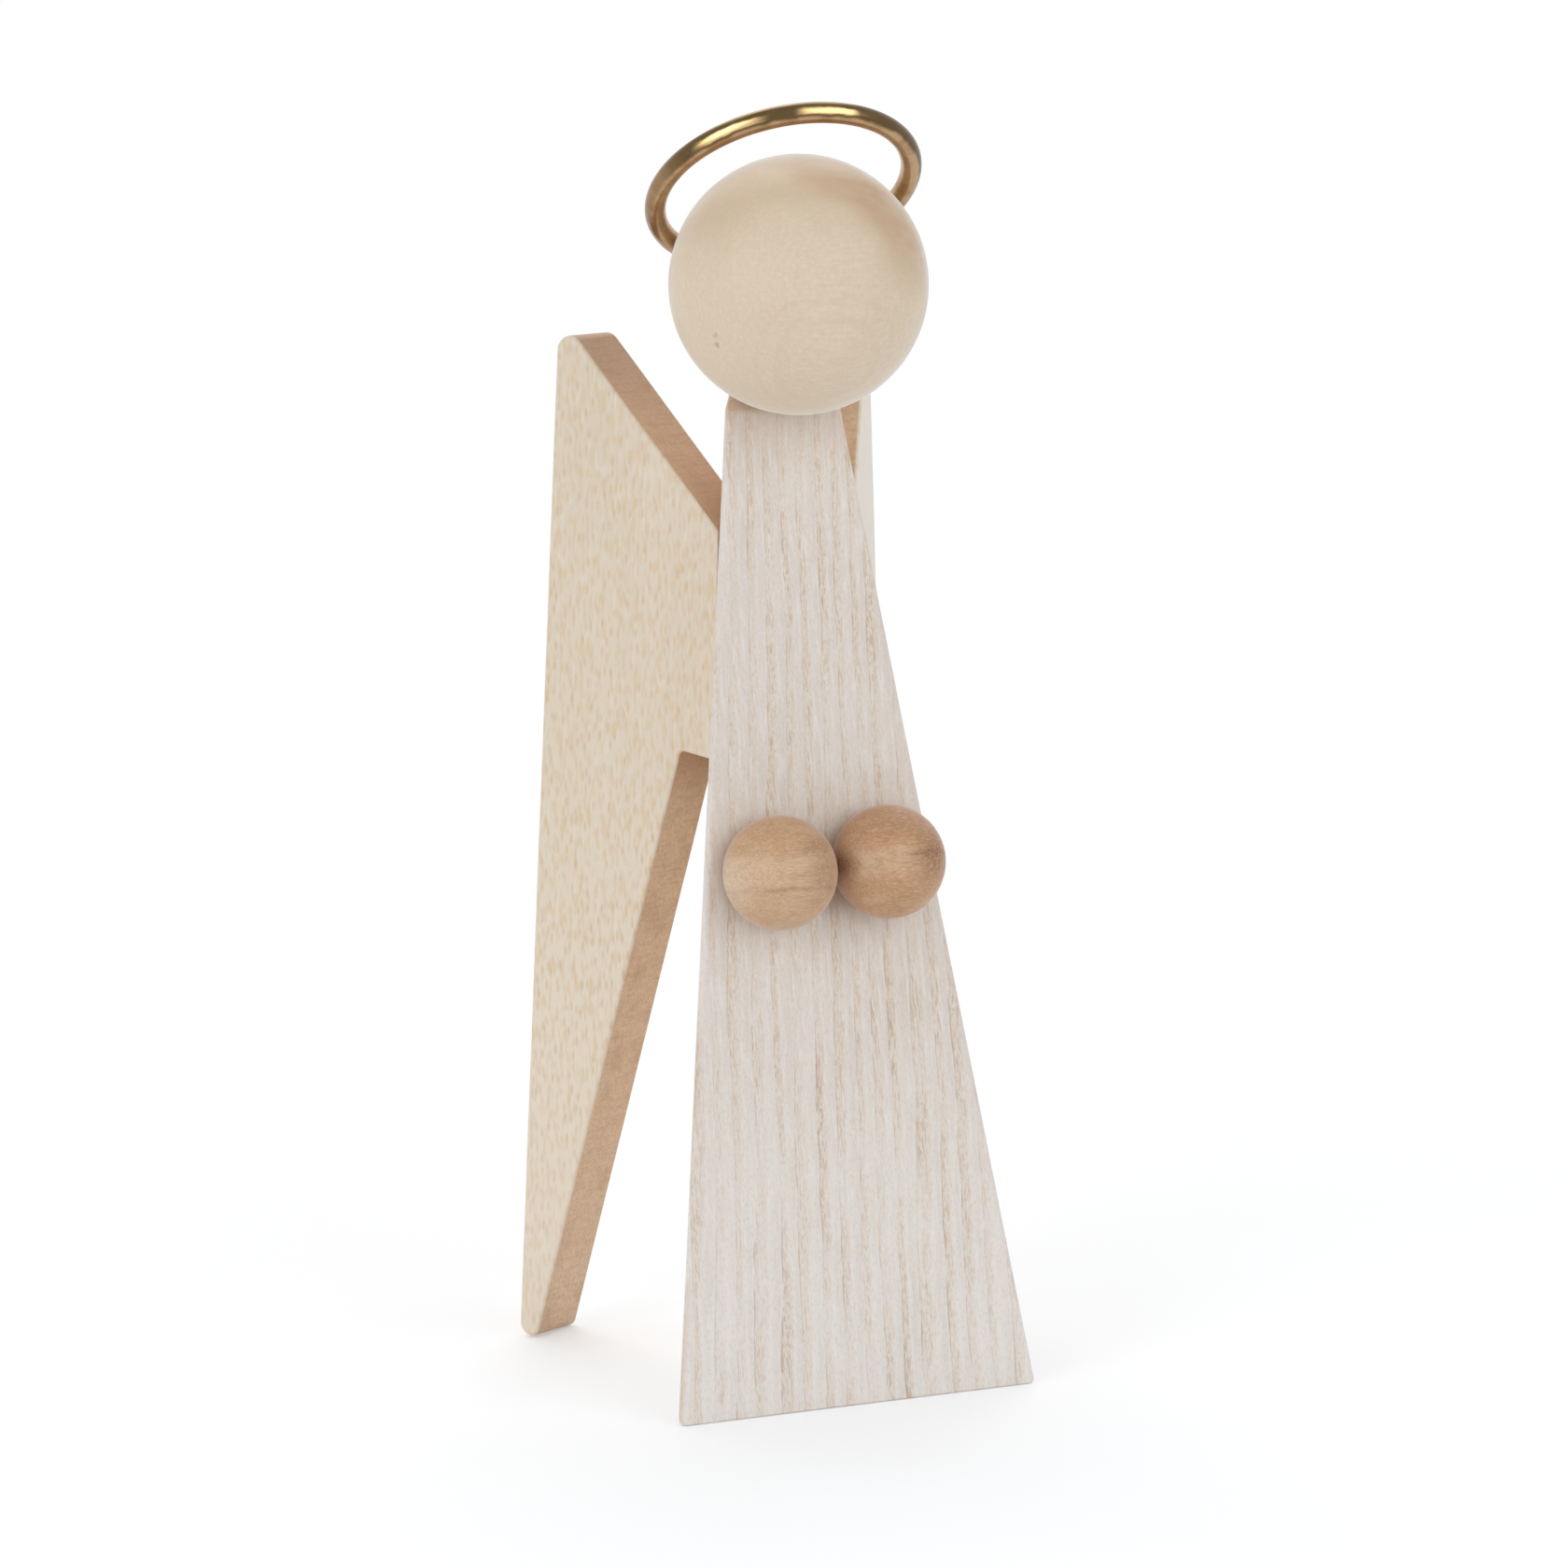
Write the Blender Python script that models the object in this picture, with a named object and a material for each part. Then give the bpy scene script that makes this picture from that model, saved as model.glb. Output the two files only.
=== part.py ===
"""Wooden angel figurine: wedge body, ball head and hands, two board wings and a wire halo.

Metres, +Z up, the front faces -Y. The origin is the middle of the body's foot.
"""

import math

import bmesh
import bpy
from mathutils import Matrix, Vector

# Body: a wedge with a leaning front, two sides closing to the back and a blunt ridge
FOOT_W = 0.0543
NECK_W = 0.01815
FRONT_H = 0.1330
FRONT_LEAN = 0.0254
RIDGE_W = 0.0050
SIDE_ANGLE = math.radians(32.0)
CROWN_ANGLE = math.radians(30.0)
CORNER_EASE = 0.0015
ARRIS_EASE = 0.0005

# Head and halo
HEAD_R = 0.0175
HEAD_FLAT_DEPTH = 0.0006
HEAD_SEAT = 0.0047
HALO_R = 0.0176
HALO_WIRE_R = 0.00143
HALO_DIP = 0.0007
HALO_RISE = math.radians(5.7)
HALO_TILT = math.radians(38.2)
HALO_ROLL = math.radians(3.9)
HALO_ASIDE = -0.0003

# Hands: balls with a flat, seated side by side on the front
HAND_R = 0.00775
HAND_FLAT_DEPTH = 0.0035
HAND_UP = 0.0732
HAND_LEFT_DROP = 0.0003
HAND_PITCH = 0.0161
HAND_ASIDE = 0.00015

# Wings: boards swept back from the body's sides
WING_T = 0.0091
WING_SWEEP = math.radians(59.6)
WING_LEAN = math.radians(1.5)
WING_ROOT_Z = 0.1000
WING_SETBACK = 0.0062
WING_REACH = 0.0334
WING_TIP_W = 0.0031
WING_TIP_GAP = 0.0003
WING_OUTER_LEAN = math.radians(2.06)
WING_INNER_LEAN = math.radians(15.53)
WING_TOP_CUT = math.radians(44.7)
WING_TOP_UP = 0.0164
WING_TAB_DROP = 0.0137
WING_TAB_SLOPE = math.radians(8.3)
WING_TOP_ROUND = 0.0022
WING_TIP_ROUND = 0.0018
WING_HEEL_ROUND = 0.0006
WING_NOTCH_ROUND = 0.0006
WING_EASE = 0.00045

# Dowels and the clearance between touching pieces
FIT = 0.0003
NECK_DOWEL_R = 0.0020
NECK_DOWEL_IN_HEAD = 0.0100
NECK_DOWEL_IN_BODY = 0.0080
HAND_DOWEL_R = 0.0015
HAND_DOWEL_IN_HAND = 0.0050
HAND_DOWEL_IN_BODY = 0.0060
WING_DOWEL_R = 0.0018
WING_DOWEL_IN_WING = 0.0090
WING_DOWEL_IN_BODY = 0.0045
WING_DOWEL_OFFSETS = {"low": -0.0080, "high": 0.0030}

# Facets
HEAD_STEPS = 48
HAND_STEPS = 32
DOWEL_STEPS = 24
HALO_STEPS = 72
HALO_WIRE_STEPS = 16
ROUND_ARCS = 5

# Values that follow from the sizes above
HEAD_FLAT = HEAD_R - HEAD_FLAT_DEPTH
HAND_FLAT = HAND_R - HAND_FLAT_DEPTH
FOOT_D = (FOOT_W - RIDGE_W) / 2 / math.tan(SIDE_ANGLE)
FRONT_Y = -FOOT_D / 2
LEAN_ANGLE = math.atan2(FRONT_LEAN, FRONT_H)
FACE_UP = Vector((0, math.sin(LEAN_ANGLE), math.cos(LEAN_ANGLE)))
FACE_OUT = Vector((0, -math.cos(LEAN_ANGLE), math.sin(LEAN_ANGLE)))
CROWN_UP = Vector((0, math.cos(CROWN_ANGLE), math.sin(CROWN_ANGLE)))
CROWN_OUT = Vector((0, -math.sin(CROWN_ANGLE), math.cos(CROWN_ANGLE)))


def front_edge(side, z):
    """Point of the body's front corner line at height z, before its edge is eased."""
    half = (FOOT_W - (FOOT_W - NECK_W) * z / FRONT_H) / 2
    return Vector((side * half, FRONT_Y + FRONT_LEAN * z / FRONT_H, z))


def side_back(side):
    """Level direction along a side of the body, towards the ridge."""
    return Vector((-side * math.sin(SIDE_ANGLE), math.cos(SIDE_ANGLE), 0))


def side_out(side):
    """Outward normal of a side of the body."""
    along = front_edge(side, FRONT_H) - front_edge(side, 0)
    return (side_back(side).cross(along) * side).normalized()


def frame(origin, z_axis, x_hint=Vector((1, 0, 0))):
    """Placement with its Z along z_axis and its X near x_hint."""
    z = z_axis.normalized()
    y = z.cross(x_hint).normalized()
    x = y.cross(z)
    rotation = Matrix((x, y, z)).transposed()
    return Matrix.Translation(origin) @ rotation.to_4x4()


def material(name, color, roughness, metallic=0.0):
    """Plain Principled material with a colour, roughness and metallic value."""
    result = bpy.data.materials.new(name)
    result.use_nodes = True
    shader = result.node_tree.nodes["Principled BSDF"]
    shader.inputs["Base Color"].default_value = (*color, 1.0)
    shader.inputs["Roughness"].default_value = roughness
    shader.inputs["Metallic"].default_value = metallic
    return result


def mesh_object(name, bm, finish=None):
    """Scene object from a bmesh, with its normals turned outward."""
    bmesh.ops.recalc_face_normals(bm, faces=bm.faces)
    mesh = bpy.data.meshes.new(name)
    bm.to_mesh(mesh)
    bm.free()
    result = bpy.data.objects.new(name, mesh)
    bpy.context.scene.collection.objects.link(result)
    if finish:
        mesh.materials.append(finish)
    return result


def smooth(item, angle=35.0):
    """Smooth shading that keeps edges above the angle sharp."""
    item.data.shade_smooth()
    item.data.set_sharp_from_angle(angle=math.radians(angle))


def turned(name, profile, steps, finish=None):
    """Solid of revolution about Z from (radius, height) points, listed top to bottom."""
    bm = bmesh.new()
    points = [bm.verts.new((radius, 0, height)) for radius, height in profile]
    for first, second in zip(points, points[1:]):
        bm.edges.new((first, second))
    result = mesh_object(name, bm, finish)
    screw = result.modifiers.new("turn", "SCREW")
    screw.axis = "Z"
    screw.steps = steps
    screw.render_steps = steps
    screw.use_merge_vertices = True
    screw.merge_threshold = 0.00001
    smooth(result)
    return result


def cutter(name, profile, steps, place):
    """Turned solid used only to cut a hole."""
    result = turned(name, profile, steps)
    result.matrix_world = place
    result.hide_render = True
    result.display_type = "WIRE"
    return result


def cut(item, tool):
    """Take the tool's volume out of the item."""
    boolean = item.modifiers.new(tool.name, "BOOLEAN")
    boolean.operation = "DIFFERENCE"
    boolean.solver = "EXACT"
    boolean.object = tool


def dowel_profile(radius, top, bottom):
    """Plain pin from height top down to height bottom, with chamfered ends."""
    chamfer = radius * 0.25
    return [
        (0, top),
        (radius - chamfer, top),
        (radius, top - chamfer),
        (radius, bottom + chamfer),
        (radius - chamfer, bottom),
        (0, bottom),
    ]


def hole_profile(radius, top, bottom):
    """Clearance hole round a pin that spans top to bottom."""
    wide = radius + FIT
    return [(0, top + FIT), (wide, top + FIT), (wide, bottom - FIT), (0, bottom - FIT)]


def ball_profile(radius, flat, hole_r, hole_depth, arcs):
    """Ball on its centre with a flat at -flat and a pin hole rising from that flat."""
    end = math.acos(-flat / radius)
    points = []
    for index in range(arcs + 1):
        angle = end * index / arcs
        points.append((radius * math.sin(angle), radius * math.cos(angle)))
    wide = hole_r + FIT
    roof = -flat + hole_depth + FIT
    return points + [(wide, -flat), (wide, roof), (0, roof)]


def ridge_edge(side, z):
    """Point of the body's rear corner line at height z, before its edge is eased."""
    start = front_edge(side, z)
    run = (abs(start.x) - RIDGE_W / 2) / math.sin(SIDE_ANGLE)
    return start + side_back(side) * run


def make_body(finish):
    """Wedge with eased edges: long corners well rounded, foot and crown just broken."""
    rise = math.tan(CROWN_ANGLE)
    ridge_y = ridge_edge(1, 0).y
    ridge_slope = (ridge_edge(1, FRONT_H).y - ridge_y) / FRONT_H
    crown_y = front_edge(1, FRONT_H).y
    ridge_top = (FRONT_H + (ridge_y - crown_y) * rise) / (1 - ridge_slope * rise)
    foot = [front_edge(-1, 0), front_edge(1, 0), ridge_edge(1, 0), ridge_edge(-1, 0)]
    crown = [front_edge(-1, FRONT_H), front_edge(1, FRONT_H)]
    crown += [ridge_edge(1, ridge_top), ridge_edge(-1, ridge_top)]
    bm = bmesh.new()
    low = [bm.verts.new(point) for point in foot]
    high = [bm.verts.new(point) for point in crown]
    bm.faces.new(low)
    bm.faces.new(high)
    for index in range(4):
        after = (index + 1) % 4
        bm.faces.new((low[index], low[after], high[after], high[index]))
    weight = bm.edges.layers.float.new("bevel_weight_edge")
    for edge in bm.edges:
        edge[weight] = ARRIS_EASE / CORNER_EASE
    for first, second in zip(low, high):
        bm.edges.get((first, second))[weight] = 1.0
    body = mesh_object("body", bm, finish)
    ease = body.modifiers.new("ease", "BEVEL")
    ease.limit_method = "WEIGHT"
    ease.width = CORNER_EASE
    ease.segments = 4
    smooth(body)
    return body


def neck_place():
    """Middle of the head's seat on the crown, with Z along the neck."""
    edge = Vector((0, front_edge(1, FRONT_H).y, FRONT_H))
    return frame(edge + CROWN_UP * HEAD_SEAT, CROWN_OUT)


def make_head(finish, body):
    """Ball on a dowel through the crown; returns its centre."""
    seat = neck_place()
    centre = seat.translation + CROWN_OUT * (HEAD_FLAT + FIT)
    profile = ball_profile(HEAD_R, HEAD_FLAT, NECK_DOWEL_R, NECK_DOWEL_IN_HEAD, HEAD_STEPS // 2)
    head = turned("head", profile, HEAD_STEPS, finish)
    head.matrix_world = frame(centre, CROWN_OUT)
    hole = hole_profile(NECK_DOWEL_R, HEAD_FLAT, -NECK_DOWEL_IN_BODY)
    cut(body, cutter("neck_hole", hole, DOWEL_STEPS, seat))
    return head, centre


def make_neck_dowel(finish):
    """Pin that joins the head and the body."""
    profile = dowel_profile(NECK_DOWEL_R, FIT + NECK_DOWEL_IN_HEAD, -NECK_DOWEL_IN_BODY)
    turned("neck_dowel", profile, DOWEL_STEPS, finish).matrix_world = neck_place()


def ring(name, wire_r, place, finish=None):
    """Closed wire ring in the XY plane of its placement."""
    bm = bmesh.new()
    loops = []
    for step in range(HALO_STEPS):
        turn = 2 * math.pi * step / HALO_STEPS
        loop = []
        for arc in range(HALO_WIRE_STEPS):
            angle = 2 * math.pi * arc / HALO_WIRE_STEPS
            reach = HALO_R + wire_r * math.cos(angle)
            point = (reach * math.cos(turn), reach * math.sin(turn), wire_r * math.sin(angle))
            loop.append(bm.verts.new(point))
        loops.append(loop)
    for step, loop in enumerate(loops):
        ahead = loops[(step + 1) % HALO_STEPS]
        for arc in range(HALO_WIRE_STEPS):
            after = (arc + 1) % HALO_WIRE_STEPS
            bm.faces.new((loop[arc], ahead[arc], ahead[after], loop[after]))
    result = mesh_object(name, bm, finish)
    result.matrix_world = place
    smooth(result, 60.0)
    return result


def make_halo(finish, head, head_centre):
    """Ring let into a groove in the back of the head, rising towards the front."""
    turn = Matrix.Rotation(HALO_ROLL, 4, "Y") @ Matrix.Rotation(-HALO_TILT, 4, "X")
    rear = turn @ Vector((0, HALO_R, 0))
    out = Vector((0, math.cos(HALO_RISE), math.sin(HALO_RISE)))
    seat = head_centre + out * (HEAD_R + HALO_WIRE_R - HALO_DIP)
    centre = seat - rear
    centre.x = HALO_ASIDE
    place = Matrix.Translation(centre) @ turn
    ring("halo", HALO_WIRE_R, place, finish)
    groove = ring("halo_groove", HALO_WIRE_R + FIT, place)
    groove.hide_render = True
    groove.display_type = "WIRE"
    cut(head, groove)


def make_hand(side, name, finish, dowel_finish, body):
    """Ball with a flat on the front of the body, and the dowel that holds it."""
    up = HAND_UP - (HAND_LEFT_DROP if side < 0 else 0)
    spot = Vector((HAND_ASIDE + side * HAND_PITCH / 2, FRONT_Y, 0)) + FACE_UP * up
    seat = frame(spot, FACE_OUT)
    profile = ball_profile(HAND_R, HAND_FLAT, HAND_DOWEL_R, HAND_DOWEL_IN_HAND, HAND_STEPS // 2)
    hand = turned(f"{name}_hand", profile, HAND_STEPS, finish)
    hand.matrix_world = frame(spot + FACE_OUT * (HAND_FLAT + FIT), FACE_OUT)
    pin = dowel_profile(HAND_DOWEL_R, FIT + HAND_DOWEL_IN_HAND, -HAND_DOWEL_IN_BODY)
    dowel = turned(f"{name}_hand_dowel", pin, DOWEL_STEPS, dowel_finish)
    dowel.matrix_world = seat
    hole = hole_profile(HAND_DOWEL_R, HAND_FLAT, -HAND_DOWEL_IN_BODY)
    cut(body, cutter(f"{name}_hand_hole", hole, DOWEL_STEPS, seat))


def rounded(points, radii):
    """Closed outline with each corner replaced by an arc of its own radius."""
    result = []
    count = len(points)
    for index, corner in enumerate(points):
        radius = radii[index]
        if not radius:
            result.append(corner)
            continue
        back = (points[index - 1] - corner).normalized()
        ahead = (points[(index + 1) % count] - corner).normalized()
        half = back.angle(ahead) / 2
        centre = corner + (back + ahead).normalized() * (radius / math.sin(half))
        first = corner + back * (radius / math.tan(half)) - centre
        last = corner + ahead * (radius / math.tan(half)) - centre
        for step in range(ROUND_ARCS + 1):
            part = step / ROUND_ARCS
            result.append(centre + first.slerp(last, part) * radius)
    return result


def wing_place(side):
    """Root datum on the body's side: X along the board, Z up it, Y through it to the rear."""
    root = front_edge(side, WING_ROOT_Z) + side_back(side) * WING_SETBACK
    out = Vector((side * math.cos(WING_SWEEP), math.sin(WING_SWEEP), 0))
    level = Vector((-side * math.sin(WING_SWEEP), math.cos(WING_SWEEP), 0))
    through = level * math.cos(WING_LEAN) - Vector((0, 0, math.sin(WING_LEAN)))
    up = level * math.sin(WING_LEAN) + Vector((0, 0, math.cos(WING_LEAN)))
    return root, out, through, up


def wing_outline():
    """Corners of a wing in its own plane, from the root datum, tip first."""
    drop = WING_ROOT_Z - WING_TIP_GAP
    floor = -drop / math.cos(WING_LEAN)
    tip = Vector((WING_REACH, floor))
    heel = tip - Vector((WING_TIP_W, 0))
    notch_z = -WING_TAB_DROP
    notch = Vector((heel.x - (notch_z - floor) * math.tan(WING_INNER_LEAN), notch_z))
    inside = -2 * WING_T
    tab = Vector((inside, notch_z - (notch.x - inside) * math.tan(WING_TAB_SLOPE)))
    cut_slope = 1 / math.tan(WING_TOP_CUT)
    shoulder = Vector((inside, WING_TOP_UP + inside * cut_slope))
    lean = math.tan(WING_OUTER_LEAN)
    top_z = (WING_TOP_UP + (tip.x + floor * lean) * cut_slope) / (1 + lean * cut_slope)
    top = Vector((tip.x - (top_z - floor) * lean, top_z))
    corners = [tip, heel, notch, tab, shoulder, top]
    radii = [WING_TIP_ROUND, WING_HEEL_ROUND, WING_NOTCH_ROUND, 0, 0, WING_TOP_ROUND]
    return rounded(corners, radii)


def make_wing(side, name, finish):
    """Board cut to the outline, its root trimmed to the body's side."""
    root, out, through, up = wing_place(side)
    bm = bmesh.new()
    loops = []
    for depth in (0, WING_T):
        loop = []
        for point in wing_outline():
            loop.append(bm.verts.new(root + out * point.x + up * point.y + through * depth))
        loops.append(loop)
        bm.faces.new(loop)
    front, rear = loops
    for index in range(len(front)):
        bm.faces.new((front[index - 1], front[index], rear[index], rear[index - 1]))
    normal = side_out(side)
    trim = front_edge(side, 0) + normal * FIT
    geometry = bm.verts[:] + bm.edges[:] + bm.faces[:]
    trimmed = bmesh.ops.bisect_plane(bm, geom=geometry, plane_co=trim, plane_no=normal, clear_inner=True)
    rim = [item for item in trimmed["geom_cut"] if isinstance(item, bmesh.types.BMEdge)]
    bmesh.ops.edgenet_fill(bm, edges=rim)
    wing = mesh_object(f"{name}_wing", bm, finish)
    ease = wing.modifiers.new("ease", "BEVEL")
    ease.limit_method = "ANGLE"
    ease.angle_limit = math.radians(40.0)
    ease.width = WING_EASE
    ease.segments = 2
    smooth(wing)
    return wing


def join_wing(side, name, finish, wing, body):
    """Dowels along the middle of the board, half in the wing and half in the body."""
    root, out, through, up = wing_place(side)
    normal = side_out(side)
    for label, offset in WING_DOWEL_OFFSETS.items():
        start = root + through * (WING_T / 2) + up * offset
        run = (front_edge(side, 0) - start).dot(normal) / out.dot(normal)
        seat = frame(start + out * run, out, up)
        pin = dowel_profile(WING_DOWEL_R, WING_DOWEL_IN_WING, -WING_DOWEL_IN_BODY)
        turned(f"{name}_wing_dowel_{label}", pin, DOWEL_STEPS, finish).matrix_world = seat
        hole = hole_profile(WING_DOWEL_R, WING_DOWEL_IN_WING, -WING_DOWEL_IN_BODY)
        tool = cutter(f"{name}_wing_hole_{label}", hole, DOWEL_STEPS, seat)
        cut(body, tool)
        cut(wing, tool)


def main():
    """Clear the scene and make every piece in place."""
    for item in list(bpy.data.objects):
        bpy.data.objects.remove(item)
    ash = material("white_stained_ash", (0.70, 0.65, 0.59), 0.62)
    maple = material("pale_maple", (0.72, 0.60, 0.45), 0.55)
    brass = material("aged_brass", (0.62, 0.42, 0.16), 0.25, 1.0)
    beech = material("oiled_beech", (0.66, 0.56, 0.44), 0.58)
    oak = material("tan_oak", (0.58, 0.42, 0.28), 0.55)
    birch = material("dowel_birch", (0.66, 0.52, 0.36), 0.60)
    body = make_body(ash)
    head, head_centre = make_head(maple, body)
    make_neck_dowel(birch)
    make_halo(brass, head, head_centre)
    for side, name in ((-1, "left"), (1, "right")):
        make_hand(side, name, oak, birch, body)
        wing = make_wing(side, name, beech)
        join_wing(side, name, birch, wing, body)


main()
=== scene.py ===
"""Wooden angel figurine, dressed and lit as in its photograph.

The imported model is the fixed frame. The seven visible pieces are rebuilt here with finer
meshes of the same sizes; the hidden dowels stay as they are and get a wood finish.
Metres, +Z up, the front faces -Y.
"""

import math

import bmesh
import bpy
from mathutils import Matrix, Vector, noise


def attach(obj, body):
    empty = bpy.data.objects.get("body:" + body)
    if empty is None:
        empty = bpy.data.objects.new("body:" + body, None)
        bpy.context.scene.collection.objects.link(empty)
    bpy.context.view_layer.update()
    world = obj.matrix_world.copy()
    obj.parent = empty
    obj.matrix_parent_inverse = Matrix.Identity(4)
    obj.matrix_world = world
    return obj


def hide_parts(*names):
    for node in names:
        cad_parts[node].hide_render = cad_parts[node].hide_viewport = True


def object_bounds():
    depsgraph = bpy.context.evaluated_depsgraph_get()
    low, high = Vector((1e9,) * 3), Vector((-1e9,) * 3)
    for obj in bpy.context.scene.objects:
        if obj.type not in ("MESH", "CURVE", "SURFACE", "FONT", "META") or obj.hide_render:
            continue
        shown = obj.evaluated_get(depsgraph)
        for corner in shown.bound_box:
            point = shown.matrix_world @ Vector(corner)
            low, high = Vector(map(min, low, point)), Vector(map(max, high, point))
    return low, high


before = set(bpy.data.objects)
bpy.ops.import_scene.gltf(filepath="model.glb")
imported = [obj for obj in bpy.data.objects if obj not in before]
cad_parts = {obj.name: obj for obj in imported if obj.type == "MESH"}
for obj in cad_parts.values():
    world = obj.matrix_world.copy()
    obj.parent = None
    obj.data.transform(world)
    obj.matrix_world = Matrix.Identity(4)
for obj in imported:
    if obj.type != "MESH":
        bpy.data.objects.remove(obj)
CAD_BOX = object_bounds()
MM = 1000.0  # millimetres in a metre

# Body: a wedge with a leaning front, two sides closing to the back and a blunt ridge
FOOT_W = 0.0543
NECK_W = 0.01815
FRONT_H = 0.1330
FRONT_LEAN = 0.0254
RIDGE_W = 0.0050
SIDE_ANGLE = math.radians(32.0)
CROWN_ANGLE = math.radians(30.0)
CORNER_EASE = 0.0015
ARRIS_EASE = 0.0005
FOOT_EASE = 0.00035
FOOT_SIDE_EASE = 0.0010
BODY_SEGMENTS = 8

# Head and halo
HEAD_R = 0.0175
HEAD_FLAT = 0.0169
HEAD_SEAT = 0.0047
HALO_R = 0.0176
HALO_WIRE_R = 0.00142
HALO_GROOVE_R = 0.00173
HALO_SINK = 0.00073
HALO_RISE = math.radians(5.7)
HALO_TILT = math.radians(38.2)
HALO_ROLL = math.radians(3.9)
HALO_ASIDE = -0.0003

# Hands: balls with a flat, seated side by side on the front
HAND_R = 0.00775
HAND_FLAT = 0.00425
HAND_UP = 0.0732
HAND_LEFT_DROP = 0.0003
HAND_PITCH = 0.0161
HAND_ASIDE = 0.00015

# Wings: boards swept back from the body's sides
WING_T = 0.0091
WING_SWEEP = math.radians(59.6)
WING_LEAN = math.radians(1.5)
WING_ROOT_Z = 0.1000
WING_SETBACK = 0.0062
WING_REACH = 0.0334
WING_TIP_W = 0.0031
WING_TIP_GAP = 0.0003
WING_OUTER_LEAN = math.radians(2.06)
WING_INNER_LEAN = math.radians(15.53)
WING_TOP_CUT = math.radians(44.7)
WING_TOP_UP = 0.0164
WING_TAB_DROP = 0.0137
WING_TAB_SLOPE = math.radians(8.3)
WING_TOP_ROUND = 0.0022
WING_TIP_ROUND = 0.0018
WING_HEEL_ROUND = 0.0012
WING_NOTCH_ROUND = 0.0006
WING_EASE = 0.00045
WING_SEGMENTS = 6

# Dowel holes and the clearance between touching pieces
FIT = 0.0003
NECK_HOLE_R = 0.0023
NECK_HOLE_IN_HEAD = 0.0103
NECK_HOLE_IN_BODY = 0.0083
HAND_HOLE_R = 0.0018
HAND_HOLE_IN_HAND = 0.0053
HAND_HOLE_IN_BODY = 0.0063
WING_HOLE_R = 0.0021
WING_HOLE_IN_WING = 0.0093
WING_HOLE_IN_BODY = 0.0048
WING_HOLE_OFFSETS = (-0.0080, 0.0030)

# Mesh fineness and the unevenness of hand-sanded faces
HEAD_STEPS = 144
HAND_STEPS = 96
HALO_STEPS = 216
HALO_WIRE_STEPS = 32
HOLE_STEPS = 32
CORNER_ARCS = 10
SANDED_GRID = 0.0030
SANDED_DEPTH = 0.00006
SANDED_SIZE = 0.0120

# Values that follow from the sizes above
FOOT_D = (FOOT_W - RIDGE_W) / 2 / math.tan(SIDE_ANGLE)
FRONT_Y = -FOOT_D / 2
LEAN_ANGLE = math.atan2(FRONT_LEAN, FRONT_H)
FACE_UP = Vector((0, math.sin(LEAN_ANGLE), math.cos(LEAN_ANGLE)))
FACE_OUT = Vector((0, -math.cos(LEAN_ANGLE), math.sin(LEAN_ANGLE)))
CROWN_UP = Vector((0, math.cos(CROWN_ANGLE), math.sin(CROWN_ANGLE)))
CROWN_OUT = Vector((0, -math.sin(CROWN_ANGLE), math.cos(CROWN_ANGLE)))

# Camera: the photograph's viewing angle, worked out from the figurine's corners; lens in mm
CAMERA_AT = Vector((-0.32374, -0.72061, 0.22173))
CAMERA_FORWARD = Vector((0.40080, 0.89951, -0.17379))
CAMERA_LENS = 135.27
CAMERA_SENSOR = 36.0
CAMERA_CLIP = (0.05, 50.0)

# Light: how bright the room is in front and behind, and the floor with its fade to white
LIGHTS_AIM = Vector((0.0, 0.0, 0.12))
LIGHTS_AWAY = 1.1
LEFT_BOX = {"azimuth": -67, "elevation": 18, "size": (0.70, 0.90), "power": 3.40}
RIGHT_BOX = {"azimuth": 30, "elevation": 24, "size": (0.90, 0.90), "power": 3.10}
BACK_BOX = {"azimuth": 165, "elevation": 52, "size": (0.90, 0.60), "power": 2.70}
ROOM_FRONT = 0.57
ROOM_BACK = 0.95
ROOM_FRONT_TO = -0.3
ROOM_BACK_FROM = 0.6
SEEING_RAYS = ("Is Camera Ray", "Is Glossy Ray", "Is Transmission Ray")
FLOOR_R = 12.0
FLOOR_CORNERS = 96
FLOOR_GAP = 0.00002
FLOOR_GLOW = 0.235
FLOOR_GLOW_FROM = (0.012, -0.028, 0.0)
FLOOR_NEAR = 0.025
FLOOR_FAR = 0.24
FLOOR_WHITE = (0.875, 0.89, 0.91, 1.0)

# Wood figure, in millimetres: the ash's growth rings, how far they lean and about what height,
# and worn spots on the body's left corner as (height, reach)
ASH_PITCH_FOOT = 3.20
ASH_PITCH_NECK = 2.50
ASH_PITCH_RUN = 135.0
ASH_FAN_FROM = 8.0
ASH_LEAN = 0.06
ASH_LEAN_ABOUT = 66.0
ASH_WORN_LEFT = ((46.0, 9.0), (2.0, 8.0))

# Painted shade on the body round the hands and below where they meet, from near to far off a spot,
# and the shift from the middle of the hands' seats to the spot below where they meet
HAND_SEAT_SHADE = {"near": 5.5, "far": 9.0, "strength": 0.24}
MEET_SHADE = {"near": 1.0, "far": 5.0, "strength": 0.60}
MEET_SHADE_SHIFT = Vector((0.0016, 0, -0.0030))

# The maple head's painted shade, a band round the direction towards the camera, and the side where
# it is darker, and the directions of two specks on it
HEAD_SHADE_AXIS = Vector((-0.40, -0.90, 0.17))
HEAD_SHADED_SIDE = Vector((0.625, -0.13, 0.77))
HEAD_FIGURE = Vector((-0.108, -0.834, -0.538))
HEAD_FIGURE_PITCH = 1.3
HEAD_SPECKS = (Vector((-0.863, -0.385, -0.325)), Vector((-0.841, -0.365, -0.399)))

# Roughness of the sheen of loose fibres
SHEEN_ROUGHNESS = 0.30

# Turn of the cells that scatter strokes on a flat face, so that no rows show
CELL_TURN = 0.5


# ---------------------------------------------------------------- placement


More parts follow.
